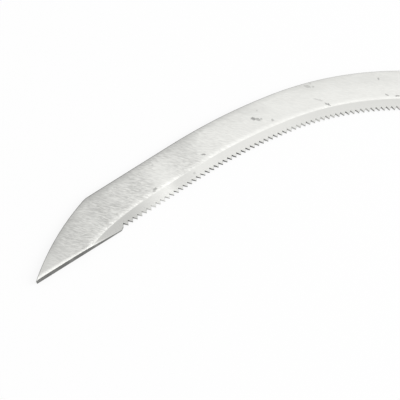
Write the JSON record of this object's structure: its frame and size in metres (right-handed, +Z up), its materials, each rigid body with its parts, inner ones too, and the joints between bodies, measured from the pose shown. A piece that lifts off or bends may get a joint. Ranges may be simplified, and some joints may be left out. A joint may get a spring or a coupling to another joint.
{
  "type": "sickle",
  "caption": "Hand sickle with a toothed crescent blade of brushed steel, a cranked flat-bar shank riveted to its heel, a steel ferrule and a turned hardwood handle",
  "frame": {"origin": "middle of the footprint, on the ground that the blade's back and the handle's fullest part rest on", "axes": "+X along the handle toward its butt, +Y toward the crown of the blade's bend, +Z up, the way the blade's ground face looks"},
  "size_m": [0.3666, 0.2312, 0.031],
  "materials": {
    "blade_steel": "brushed",
    "forged_steel": "forged",
    "rivet_steel": "matte",
    "washer_steel": "satin",
    "ferrule_steel": "satin",
    "hardwood": "oiled"
  },
  "bodies": {
    "root": {"blade": "blade_steel", "shank": "forged_steel", "blade_rivets": "rivet_steel", "shoulder_washer": "washer_steel", "ferrule": "ferrule_steel", "ferrule_nails": "rivet_steel", "handle": "hardwood", "tang_pin": "rivet_steel", "pin_washers": "washer_steel"}
  },
  "joints": []
}
